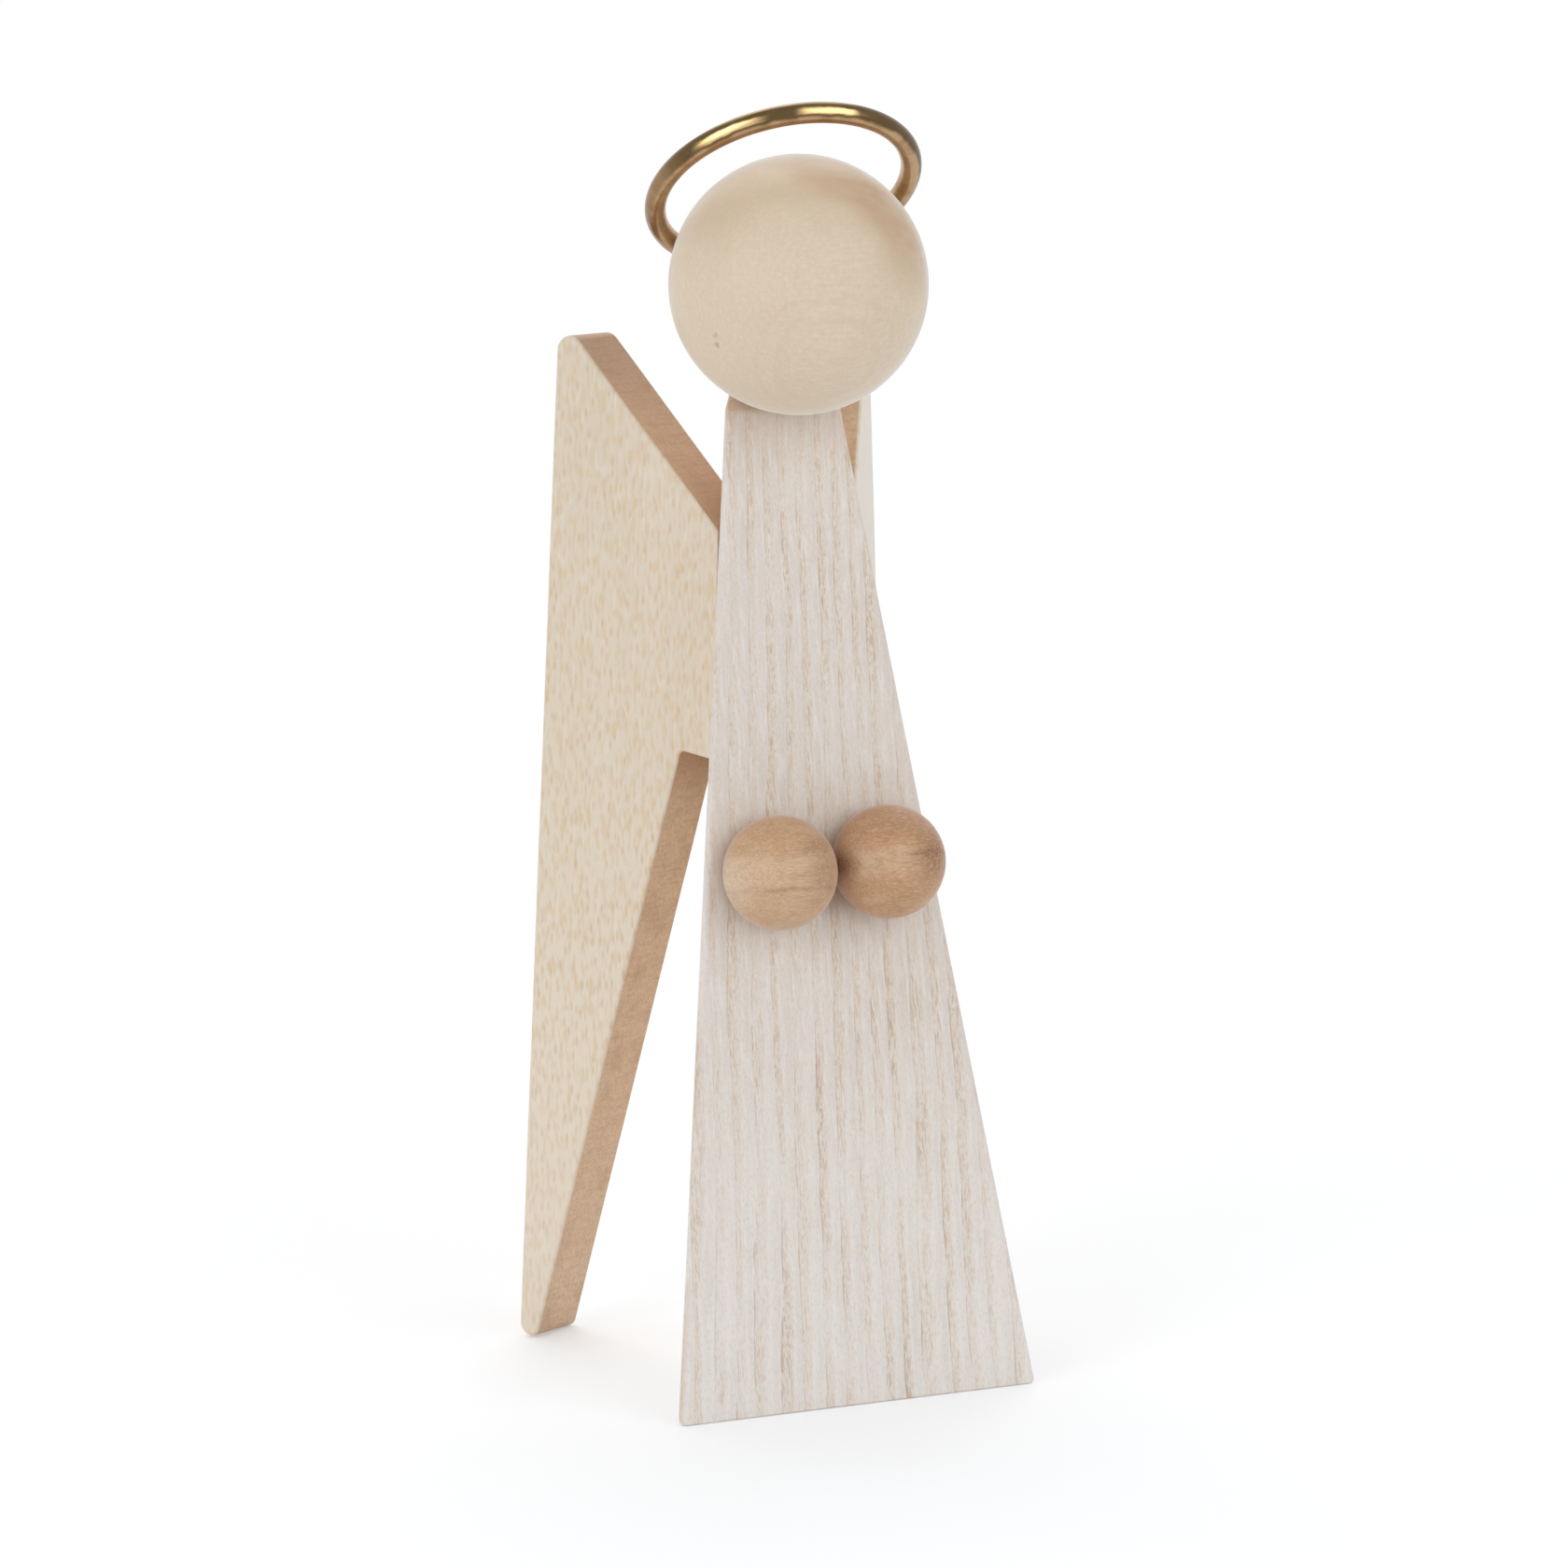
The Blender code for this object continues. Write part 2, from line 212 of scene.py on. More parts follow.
def front_edge(side, z):
    """Point of the body's front corner line at height z, before its edge is eased."""
    half = (FOOT_W - (FOOT_W - NECK_W) * z / FRONT_H) / 2
    return Vector((side * half, FRONT_Y + FRONT_LEAN * z / FRONT_H, z))


def side_back(side):
    """Level direction along a side of the body, towards the ridge."""
    return Vector((-side * math.sin(SIDE_ANGLE), math.cos(SIDE_ANGLE), 0))


def side_out(side):
    """Outward normal of a side of the body."""
    along = front_edge(side, FRONT_H) - front_edge(side, 0)
    return (side_back(side).cross(along) * side).normalized()


def ridge_edge(side, z):
    """Point of the body's rear corner line at height z, before its edge is eased."""
    start = front_edge(side, z)
    run = (abs(start.x) - RIDGE_W / 2) / math.sin(SIDE_ANGLE)
    return start + side_back(side) * run


def axes_at(origin, z_axis, x_hint=Vector((1, 0, 0))):
    """Placement with its Z along z_axis and its X near x_hint."""
    z = z_axis.normalized()
    y = z.cross(x_hint).normalized()
    x = y.cross(z)
    rotation = Matrix((x, y, z)).transposed()
    return Matrix.Translation(origin) @ rotation.to_4x4()


def neck_place():
    """Middle of the head's seat on the crown, with Z along the neck."""
    edge = Vector((0, front_edge(1, FRONT_H).y, FRONT_H))
    return axes_at(edge + CROWN_UP * HEAD_SEAT, CROWN_OUT)


def head_place():
    """Centre of the head, with Z along the neck."""
    return axes_at(neck_place().translation + CROWN_OUT * (HEAD_FLAT + FIT), CROWN_OUT)


def halo_place():
    """Centre of the halo, whose rear lies in the groove behind the head."""
    turn = Matrix.Rotation(HALO_ROLL, 4, "Y") @ Matrix.Rotation(-HALO_TILT, 4, "X")
    rear = turn @ Vector((0, HALO_R, 0))
    out = Vector((0, math.cos(HALO_RISE), math.sin(HALO_RISE)))
    centre = head_place().translation + out * (HEAD_R + HALO_SINK) - rear
    centre.x = HALO_ASIDE
    return Matrix.Translation(centre) @ turn


def hand_seat(side):
    """Middle of a hand's seat on the front, with Z out of the front and Y up it."""
    up = HAND_UP - (HAND_LEFT_DROP if side < 0 else 0)
    spot = Vector((HAND_ASIDE + side * HAND_PITCH / 2, FRONT_Y, 0)) + FACE_UP * up
    return axes_at(spot, FACE_OUT)


def hand_place(side):
    """Centre of a hand."""
    return hand_seat(side) @ Matrix.Translation((0, 0, HAND_FLAT + FIT))


def wing_place(side):
    """Root datum of a wing: X along the board, Z up it, Y through it.

    Y runs to the rear on the right wing and to the front on the left one.
    """
    root = front_edge(side, WING_ROOT_Z) + side_back(side) * WING_SETBACK
    out = Vector((side * math.cos(WING_SWEEP), math.sin(WING_SWEEP), 0))
    level = Vector((-side * math.sin(WING_SWEEP), math.cos(WING_SWEEP), 0))
    through = level * math.cos(WING_LEAN) - Vector((0, 0, math.sin(WING_LEAN)))
    up = level * math.sin(WING_LEAN) + Vector((0, 0, math.cos(WING_LEAN)))
    rotation = Matrix((out, through * side, up)).transposed()
    return Matrix.Translation(root) @ rotation.to_4x4()


def wing_hole_places(side):
    """Seats of a wing's two dowels on the body's side, with Z along the board."""
    place = wing_place(side)
    out, up = place.col[0].xyz, place.col[2].xyz
    normal = side_out(side)
    seats = []
    for offset in WING_HOLE_OFFSETS:
        start = place @ Vector((0, side * WING_T / 2, offset))
        run = (front_edge(side, 0) - start).dot(normal) / out.dot(normal)
        seats.append(axes_at(start + out * run, out, up))
    return seats


def body_grain_place():
    """Middle of the front's foot edge, with Z up the leaning front and -Y out of it."""
    return axes_at(Vector((0, FRONT_Y, 0)), FACE_UP)


# ---------------------------------------------------------------- mesh work


def mesh_object(name, bm):
    """Scene object from a bmesh, with its normals turned outward."""
    bmesh.ops.recalc_face_normals(bm, faces=bm.faces)
    mesh = bpy.data.meshes.new(name)
    bm.to_mesh(mesh)
    bm.free()
    item = bpy.data.objects.new(name, mesh)
    bpy.context.scene.collection.objects.link(item)
    return item


def settle(item):
    """Apply the item's modifiers and placement to its mesh."""
    bpy.context.view_layer.update()
    graph = bpy.context.evaluated_depsgraph_get()
    mesh = bpy.data.meshes.new_from_object(item.evaluated_get(graph))
    mesh.transform(item.matrix_world)
    item.modifiers.clear()
    item.data = mesh
    item.matrix_world = Matrix.Identity(4)


def turned(name, profile, steps, place):
    """Solid of revolution about Z from (radius, height) points, listed top to bottom."""
    bm = bmesh.new()
    points = [bm.verts.new((radius, 0, height)) for radius, height in profile]
    edges = [bm.edges.new(pair) for pair in zip(points, points[1:])]
    bmesh.ops.spin(
        bm,
        geom=points + edges,
        axis=(0, 0, 1),
        cent=(0, 0, 0),
        angle=2 * math.pi,
        steps=steps,
        use_merge=True,
    )
    bmesh.ops.remove_doubles(bm, verts=bm.verts, dist=0.000001)
    item = mesh_object(name, bm)
    item.matrix_world = place
    return item


def ball(name, radius, flat, hole_size, steps, place):
    """Turned ball with a flat at -flat and a dowel hole, (radius, depth), rising from it."""
    hole_r, hole_depth = hole_size
    end = math.acos(-flat / radius)
    arcs = steps // 2
    profile = []
    for index in range(arcs + 1):
        angle = end * index / arcs
        profile.append((radius * math.sin(angle), radius * math.cos(angle)))
    roof = -flat + hole_depth
    profile += [(hole_r, -flat), (hole_r, roof), (0, roof)]
    return turned(name, profile, steps, place)


def ring(name, wire_r, place):
    """Closed wire ring in the XY plane of its placement."""
    bm = bmesh.new()
    loops = []
    for step in range(HALO_STEPS):
        turn = Matrix.Rotation(2 * math.pi * step / HALO_STEPS, 3, "Z")
        loop = []
        for arc in range(HALO_WIRE_STEPS):
            angle = 2 * math.pi * arc / HALO_WIRE_STEPS
            reach = HALO_R + wire_r * math.cos(angle)
            loop.append(bm.verts.new(turn @ Vector((reach, 0, wire_r * math.sin(angle)))))
        loops.append(loop)
    for step, loop in enumerate(loops):
        ahead = loops[(step + 1) % HALO_STEPS]
        for arc in range(HALO_WIRE_STEPS):
            after = (arc + 1) % HALO_WIRE_STEPS
            bm.faces.new((loop[arc], ahead[arc], ahead[after], loop[after]))
    item = mesh_object(name, bm)
    item.matrix_world = place
    return item


def hole(radius, top, bottom, place):
    """Tool for a round hole from height top down to height bottom of its placement."""
    profile = [(0, top), (radius, top), (radius, bottom), (0, bottom)]
    return turned("hole", profile, HOLE_STEPS, place)


def ease_edges(item, width, segments, by_weight):
    """Round the item's edges, either those with a weight or all the sharp ones."""
    ease = item.modifiers.new("ease", "BEVEL")
    ease.limit_method = "WEIGHT" if by_weight else "ANGLE"
    ease.angle_limit = math.radians(40.0)
    ease.width = width
    ease.segments = segments


def cut_away(item, tools):
    """Take the tools' volumes out of the item and discard the tools."""
    for tool in tools:
        boolean = item.modifiers.new("cut", "BOOLEAN")
        boolean.operation = "DIFFERENCE"
        boolean.solver = "EXACT"
        boolean.object = tool
    settle(item)
    for tool in tools:
        bpy.data.objects.remove(tool)


def in_cad_box(point):
    """The point, or the nearest one to it inside the CAD box."""
    low, high = CAD_BOX
    return Vector(max(low[axis], min(high[axis], point[axis])) for axis in range(3))


def sand(item, seed):
    """Divide the item's faces and sink them a little, unevenly, as sanding by hand does."""
    bm = bmesh.new()
    bm.from_mesh(item.data)
    low = Vector(map(min, zip(*(vert.co for vert in bm.verts))))
    high = Vector(map(max, zip(*(vert.co for vert in bm.verts))))
    for axis in range(3):
        normal = Vector((0, 0, 0))
        normal[axis] = 1
        for index in range(1, int((high[axis] - low[axis]) / SANDED_GRID)):
            point = low + normal * (index * SANDED_GRID)
            geometry = bm.verts[:] + bm.edges[:] + bm.faces[:]
            bmesh.ops.bisect_plane(bm, geom=geometry, plane_co=point, plane_no=normal)
    bm.normal_update()
    for vert in bm.verts:
        depth = 0.5 + 0.5 * noise.noise(vert.co / SANDED_SIZE + Vector((seed, 0, 0)))
        vert.co = in_cad_box(vert.co - vert.normal * (SANDED_DEPTH * depth))
    bm.to_mesh(item.data)
    bm.free()


def show(item, node, finish, sharp_angle=35.0):
    """Finish a piece and let it stand for its CAD node."""
    item.data.materials.clear()
    item.data.materials.append(finish)
    item.data.shade_smooth()
    item.data.set_sharp_from_angle(angle=math.radians(sharp_angle))
    even = item.modifiers.new("even_shading", "WEIGHTED_NORMAL")
    even.keep_sharp = True
    settle(item)
    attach(item, "root")
    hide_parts(node)


# ---------------------------------------------------------------- finishes


def srgb(red, green, blue):
    """Linear colour from 8-bit display values."""
    levels = []
    for value in (red, green, blue):
        part = value / 255
        levels.append(part / 12.92 if part <= 0.04045 else ((part + 0.055) / 1.055) ** 2.4)
    return (*levels, 1.0)


class Finish:
    """Principled material whose colour, roughness and relief are worked out by nodes.

    Lengths in its nodes are millimetres along the axes of the piece's own placement.
    """

    def __init__(self, name, place):
        self.place = place
        self.material = bpy.data.materials.new(name)
        self.material.use_nodes = True
        self.tree = self.material.node_tree
        self.shader = self.tree.nodes["Principled BSDF"]
        coords = self.add("ShaderNodeTexCoord")
        inputs = {"Vector": coords.outputs["Object"], "Location": place.translation}
        inputs.update({"Rotation": place.to_euler(), "Scale": (1 / MM,) * 3})
        local = self.add("ShaderNodeMapping", inputs, vector_type="TEXTURE")
        self.local = local.outputs["Vector"]
        split = self.add("ShaderNodeSeparateXYZ", {"Vector": self.local})
        self.x, self.y, self.z = split.outputs
        self.normal = coords.outputs["Normal"]

    def add(self, kind, inputs=None, **settings):
        """New node with its settings and its inputs linked or set."""
        node = self.tree.nodes.new(kind)
        for name, value in settings.items():
            setattr(node, name, value)
        for name, value in (inputs or {}).items():
            self.feed(node.inputs[name], value)
        return node

    def feed(self, socket, value):
        """Link a socket to another one, or set its value."""
        if isinstance(value, bpy.types.NodeSocket):
            self.tree.links.new(value, socket)
        else:
            socket.default_value = value

    def math(self, operation, first, second=0.0):
        """Result of a calculation with one or two values."""
        return self.add("ShaderNodeMath", {0: first, 1: second}, operation=operation).outputs[0]

    def plus(self, first, second):
        """Sum of two values."""
        return self.math("ADD", first, second)

    def times(self, first, second):
        """Product of two values."""
        return self.math("MULTIPLY", first, second)

    def less(self, value):
        """One minus the value."""
        return self.math("SUBTRACT", 1.0, value)

    def along(self, vector, direction):
        """Length of a vector along a direction."""
        node = self.add("ShaderNodeVectorMath", {0: vector, 1: direction}, operation="DOT_PRODUCT")
        return node.outputs["Value"]

    def apart(self, first, second):
        """Distance between two points."""
        node = self.add("ShaderNodeVectorMath", {0: first, 1: second}, operation="DISTANCE")
        return node.outputs["Value"]

    def span(self, value, low, high):
        """Soft step from 0 at low to 1 at high."""
        inputs = {"Value": value, "From Min": low, "From Max": high}
        node = self.add("ShaderNodeMapRange", inputs, interpolation_type="SMOOTHSTEP")
        return node.outputs["Result"]

    def window(self, value, low, full, still, high):
        """Soft pulse: 0 at low, 1 from full to still, and 0 again at high."""
        return self.times(self.span(value, low, full), self.less(self.span(value, still, high)))

    def level(self, value, low, high):
        """Value from 0 to 1 rescaled to run from low to high."""
        inputs = {"Value": value, "To Min": low, "To Max": high}
        return self.add("ShaderNodeMapRange", inputs).outputs["Result"]

    def scatter(self, value):
        """Random number from 0 to 1 for a whole number."""
        node = self.add("ShaderNodeTexWhiteNoise", {"W": value}, noise_dimensions="1D")
        return node.outputs["Value"]

    def stretched(self, size, shift, flat=False):
        """Coordinates in which a grain of the given size is one unit long.

        When flat, the piece's X and Z become the first two axes.
        """
        scale = [1 / length for length in size]
        inputs = {"Vector": self.local, "Location": shift, "Scale": scale}
        if flat:
            inputs["Rotation"] = (-math.pi / 2, 0.0, CELL_TURN)
        return self.add("ShaderNodeMapping", inputs).outputs["Vector"]

    def noise(self, size, detail=2.0, rough=0.5, shift=(0.0, 0.0, 0.0)):
        """Noise from 0 to 1 with grains of the given size along each axis."""
        inputs = {"Vector": self.stretched(size, shift), "Scale": 1.0}
        inputs.update({"Detail": detail, "Roughness": rough})
        return self.add("ShaderNodeTexNoise", inputs).outputs["Fac"]

    def dashes(self, size, share, shift=(0.0, 0.0, 0.0), flat=False):
        """Scattered strokes, one in a share of the cells of the given size, and their tones."""
        inputs = {"Vector": self.stretched(size, shift, flat), "Scale": 1.0}
        cells = self.add("ShaderNodeTexVoronoi", inputs, voronoi_dimensions="2D" if flat else "3D")
        chance = self.add("ShaderNodeSeparateColor", {"Color": cells.outputs["Color"]})
        drawn = self.span(chance.outputs["Red"], 1.0 - share, 1.3 - share)
        stroke = self.less(self.span(cells.outputs["Distance"], 0.06, 0.42))
        return self.times(stroke, drawn), chance.outputs["Green"]

    def mix(self, factor, low, high):
        """Colour between two colours."""
        node = self.add("ShaderNodeMix", data_type="RGBA")
        for index, value in ((0, factor), (6, low), (7, high)):
            self.feed(node.inputs[index], value)
        return node.outputs[2]

    def tint(self, colour, factor, strength, towards):
        """Colour moved towards another one where the factor says so."""
        return self.mix(self.times(factor, strength), colour, towards)

    def finish(self, colour, roughness, height, relief_mm, sheen=0.0):
        """Connect the worked-out colour, roughness and relief to the shader."""
        inputs = {"Height": height, "Distance": relief_mm / MM, "Strength": 1.0}
        bump = self.add("ShaderNodeBump", inputs).outputs["Normal"]
        self.feed(self.shader.inputs["Base Color"], colour)
        self.feed(self.shader.inputs["Roughness"], roughness)
        self.feed(self.shader.inputs["Normal"], bump)
        self.shader.inputs["Sheen Weight"].default_value = sheen
        self.shader.inputs["Sheen Roughness"].default_value = SHEEN_ROUGHNESS
        return self.material


# The right wing's faces and edges are painted paler than the left's, and its flecks fainter
# (below): painted sheen and light, for its face is seen nearly edge-on.
BEECH_FACE = {
    -1: (srgb(232, 220, 202), srgb(224, 209, 188)),
    1: (srgb(238, 228, 212), srgb(232, 219, 199)),
}

BEECH_EDGE = {
    -1: (srgb(230, 192, 157), srgb(219, 177, 141)),
    1: (srgb(236, 205, 172), srgb(225, 190, 157)),
}

# How strongly the flecks show, and the sheen of loose fibres, on the left and right wing
BEECH_FLECKS = {-1: 1.0, 1: 0.6}
BEECH_SHEEN = {-1: 0.30, 1: 1.0}

# Grain of the hands, with painted light and shade: heights in millimetres from the ball's middle,
# the strength of a painted pale rim of light on the left, and dark ends of the grain as (x, y,
# half width, half height, strength), those at the sides where the balls meet also painted shade
HAND_GRAIN = {
    -1: {
        "light": srgb(217, 183, 150),
        "deep": srgb(204, 167, 132),
        "band": srgb(196, 154, 116),
        "dark_from": 1.8,
        "line_at": -2.2,
        "line": 0.40,
        "rim": 0.60,
        "grain_ends_and_contact_shade": (
            (3.2, 3.1, 4.2, 1.6, 0.42),
            (7.5, 0.4, 1.4, 3.0, 0.60),
            (3.6, -0.6, 4.4, 6.0, 0.36),
        ),
    },
    1: {
        "light": srgb(203, 159, 121),
        "deep": srgb(188, 142, 103),
        "band": srgb(174, 130, 94),
        "dark_from": 2.2,
        "line_at": 0.6,
        "line": 0.08,
        "rim": 0.22,
        "grain_ends_and_contact_shade": (
            (-7.7, -0.1, 2.0, 2.6, 0.75),
            (3.6, 0.9, 5.4, 0.85, 0.90),
            (4.2, 0.3, 4.4, 4.6, 0.78),
        ),
    },
}


def ash_rings(wood):
    """Growth rings up the body's front: place within a ring, and how strong it shows there."""
    swing = wood.level(wood.noise((18, 18, 60), shift=(2, 5, 1)), -1.2, 1.2)
    wave = wood.level(wood.noise((4, 4, 9), detail=1.0), -0.45, 0.45)
    spread = wood.level(wood.noise((6, 300, 300), detail=1.0), -1.7, 1.7)
    upright = wood.math("SUBTRACT", wood.x, wood.times(wood.z, ASH_LEAN))
    across = wood.plus(upright, wood.plus(wood.plus(swing, spread), wave))
    pitch = wood.level(wood.times(wood.z, 1 / ASH_PITCH_RUN), ASH_PITCH_FOOT, ASH_PITCH_NECK)
    rings = wood.math("DIVIDE", wood.plus(across, ASH_FAN_FROM + ASH_LEAN_ABOUT * ASH_LEAN), pitch)
    ring_tone = wood.level(wood.scatter(wood.math("FLOOR", rings)), 0.65, 1.0)
    run_tone = wood.level(wood.span(wood.noise((4, 4, 20), detail=2.0), 0.30, 0.68), 0.25, 1.15)
    return wood.math("FRACT", rings), wood.times(ring_tone, run_tone)


def ash_corner(wood):
    """How near the body's front corner lines the surface is, from 0 to 1, and its worn spots."""
    taper = (FOOT_W - NECK_W) / 2 / (FRONT_H / math.cos(LEAN_ANGLE))
    half = wood.math("SUBTRACT", FOOT_W / 2 * MM, wood.times(wood.z, taper))
    inset = wood.math("SUBTRACT", half, wood.math("ABSOLUTE", wood.x))
    corner = wood.less(wood.span(inset, 0.2, 1.5))
    worn = wood.span(wood.noise((9, 9, 15), detail=3.0), 0.54, 0.68)
    left = wood.less(wood.span(wood.x, -1.0, 0.0))
    for height, reach in ASH_WORN_LEFT:
        away = wood.math("ABSOLUTE", wood.math("SUBTRACT", wood.z, height))
        spot = wood.less(wood.span(away, reach / 3, reach))
        worn = wood.math("MAXIMUM", worn, wood.times(spot, left))
    ragged = wood.level(wood.noise((0.5, 0.5, 4), detail=2.0), 0.3, 1.2)
    return corner, wood.times(wood.times(worn, corner), ragged)


def ash_finish():
    """White-stained ash: pale wood with lines of tan pores up the front, worn at the corners, with
    painted light towards the foot and along the corners and painted shade round the hands.
    """
    wood = Finish("white_stained_ash_detailed", body_grain_place())
    part, tone = ash_rings(wood)
    broken = wood.span(wood.noise((0.6, 0.6, 6), detail=1.0), 0.38, 0.60)
    line = wood.times(wood.window(part, 0.0, 0.02, 0.05, 0.11), wood.times(broken, tone))
    early = wood.window(part, 0.0, 0.04, 0.28, 0.60)
    late = wood.times(wood.window(part, 0.55, 0.80, 0.95, 1.0), tone)
    long_pores = wood.span(wood.noise((0.28, 0.28, 2.0), detail=1.0, shift=(7, 3, 1)), 0.53, 0.66)
    short_pores = wood.span(wood.noise((0.22, 0.22, 0.8), detail=1.0), 0.54, 0.67)
    pores = wood.math("MAXIMUM", long_pores, wood.times(short_pores, 0.8))
    pores = wood.times(pores, wood.times(wood.level(early, 0.18, 1.0), tone))
    pores = wood.times(pores, wood.level(wood.span(wood.z, 25.0, 85.0), 0.64, 0.78))
    pore_tone = wood.noise((1.0, 1.0, 4.0), detail=1.0, shift=(2, 2, 9))
    ticks, _ = wood.dashes((0.26, 0.26, 1.1), 0.50, shift=(1, 8, 4), flat=True)
    fibres = wood.noise((0.17, 0.17, 5), detail=2.0)
    grit = wood.noise((0.30, 0.30, 0.50), detail=2.0, shift=(8, 2, 6))
    stain = wood.span(wood.noise((0.6, 0.6, 5), detail=2.0, shift=(5, 1, 2)), 0.48, 0.68)
    cloud = wood.noise((9, 9, 34), detail=3.0, shift=(3, 9, 5))

    colour = wood.mix(cloud, srgb(237, 230, 222), srgb(227, 217, 207))
    # Painted light: lighter towards the foot, for the light bounced up off the floor.
    colour = wood.tint(colour, wood.less(wood.span(wood.z, 0.0, 75.0)), 0.90, srgb(248, 243, 238))
    colour = wood.tint(colour, late, 0.26, srgb(207, 198, 194))
    colour = wood.tint(colour, wood.times(early, tone), 0.36, srgb(217, 198, 176))
    colour = wood.tint(colour, fibres, 0.30, srgb(206, 193, 181))
    colour = wood.tint(colour, wood.span(grit, 0.50, 0.70), 0.18, srgb(204, 191, 178))
    colour = wood.tint(colour, wood.less(wood.span(grit, 0.32, 0.48)), 0.20, srgb(243, 239, 235))
    colour = wood.tint(colour, stain, 0.42, srgb(242, 238, 234))
    colour = wood.tint(colour, ticks, 0.26, srgb(195, 176, 157))
    colour = wood.tint(colour, line, 0.52, srgb(178, 160, 147))
    deeper = wood.span(pore_tone, 0.3, 0.7)
    pore_colour = wood.mix(deeper, srgb(221, 188, 147), srgb(193, 157, 119))
    colour = wood.mix(pores, colour, pore_colour)

    corner, worn = ash_corner(wood)
    # Painted highlight: paler along the eased corner lines, where they catch the light.
    colour = wood.tint(colour, corner, 0.35, srgb(236, 231, 225))
    colour = wood.tint(colour, worn, 0.60, srgb(196, 160, 126))
    # Painted shade: browner and darker round the hands' seats and below where the two hands meet.
    seats = [hand_seat(side).translation for side in (-1, 1)]
    meet = (seats[0] + seats[1]) / 2 + MEET_SHADE_SHIFT
    for spot, shade_spot in ((seats[0], HAND_SEAT_SHADE), (seats[1], HAND_SEAT_SHADE), (meet, MEET_SHADE)):
        away = wood.apart(wood.local, wood.place.inverted() @ spot * MM)
        shaded = wood.less(wood.span(away, shade_spot["near"], shade_spot["far"]))
        colour = wood.tint(colour, shaded, shade_spot["strength"], srgb(176, 142, 118))
    neck = wood.span(wood.z, FRONT_H * MM - 9.0, FRONT_H * MM + 3.0)
    neck = wood.times(neck, wood.level(fibres, 0.1, 0.9))
    colour = wood.tint(colour, neck, 0.40, srgb(200, 172, 148))
    end_grain = wood.span(wood.math("ABSOLUTE", wood.along(wood.normal, FACE_UP)), 0.5, 0.8)
    colour = wood.tint(colour, end_grain, 0.40, srgb(234, 202, 174))

    height = wood.math("SUBTRACT", wood.times(fibres, 0.25), pores)
    return wood.finish(colour, wood.level(pores, 0.55, 0.75), height, 0.05)


def beech_finish(side):
    """Oiled beech: cream faces with short tan ray flecks, and tan edges."""
    wood = Finish(f"oiled_beech_detailed_{'left' if side < 0 else 'right'}", wing_place(side))
    drift = (side * 11.0, 4.0, side * 23.0)
    flecks = wood.span(wood.noise((0.72, 12, 2.5), detail=0.5, shift=drift), 0.50, 0.68)
    small = wood.noise((0.46, 9, 1.7), detail=0.5, shift=(side * 3.0, 2.0, 7.0))
    small = wood.span(small, 0.54, 0.70)
    pale = wood.noise((0.70, 12, 3.2), detail=0.5, shift=(2.0, side * 31.0, 5.0))
    pale = wood.span(pale, 0.55, 0.70)
    marks, mark_tone = wood.dashes((0.95, 1.0, 2.7), 0.80, shift=drift, flat=True)
    fibres = wood.noise((0.30, 0.8, 16), detail=2.0, shift=drift)
    grit = wood.span(wood.noise((0.42, 0.42, 0.55), detail=2.0, shift=drift), 0.35, 0.65)
    saw_marks = wood.span(wood.noise((5.0, 5.0, 0.34), detail=2.0, shift=drift), 0.50, 0.68)
    smear = wood.noise((4, 4, 4), detail=2.0, shift=drift)
    cloud = wood.noise((9, 9, 40), detail=2.0, shift=drift)

    face = wood.mix(cloud, *BEECH_FACE[side])
    face = wood.tint(face, wood.less(wood.span(wood.z, -85.0, 20.0)), 0.75, srgb(243, 230, 212))
    most = BEECH_FLECKS[side]
    shown = wood.level(wood.span(wood.z, -95.0, -45.0), 0.6 * most, most)
    face = wood.tint(face, pale, 0.55, srgb(236, 226, 211))
    face = wood.tint(face, wood.times(small, shown), 0.30, srgb(219, 193, 156))
    face = wood.tint(face, wood.times(flecks, shown), 0.42, srgb(225, 197, 154))
    mark_colour = wood.mix(mark_tone, srgb(227, 200, 158), srgb(213, 181, 138))
    face = wood.tint(face, wood.times(marks, shown), 0.54, mark_colour)

    edge = wood.mix(cloud, *BEECH_EDGE[side])
    inward = wood.span(wood.along(wood.normal, -wood.place.col[0].xyz), 0.2, 0.6)
    # Painted light: the inner edges lighter below the tab, whose shade darkens them above; running
    # nearly along the grain, they are lighter too.
    under = wood.times(inward, wood.less(wood.span(wood.z, -22.0, -14.0)))
    edge = wood.tint(edge, under, 0.85, srgb(246, 216, 183))
    # Painted shade: the edges darker and browner near the root, next to the body.
    edge = wood.tint(edge, wood.less(wood.span(wood.x, 1.0, 12.0)), 0.45, srgb(184, 140, 104))
    edge = wood.tint(edge, wood.span(wood.z, 28.0, 42.0), 0.55, srgb(182, 146, 120))
    edge = wood.tint(edge, wood.span(smear, 0.45, 0.70), 0.28, srgb(186, 145, 112))
    edge = wood.tint(edge, grit, 0.26, srgb(176, 135, 103))
    edge = wood.tint(edge, wood.times(saw_marks, inward), 0.16, srgb(160, 120, 90))

    depth = wood.math("ABSOLUTE", wood.math("SUBTRACT", wood.y, side * WING_T / 2 * MM))
    inner = (WING_T / 2 - 1.2 * WING_EASE) * MM
    outer = (WING_T / 2 - 0.5 * WING_EASE) * MM
    colour = wood.mix(wood.less(wood.span(depth, inner, outer)), face, edge)
    colour = wood.tint(colour, fibres, 0.12, srgb(200, 174, 146))

    height = wood.math("SUBTRACT", wood.times(fibres, 0.4), wood.times(flecks, 0.4))
    return wood.finish(colour, wood.level(flecks, 0.52, 0.64), height, 0.03, BEECH_SHEEN[side])


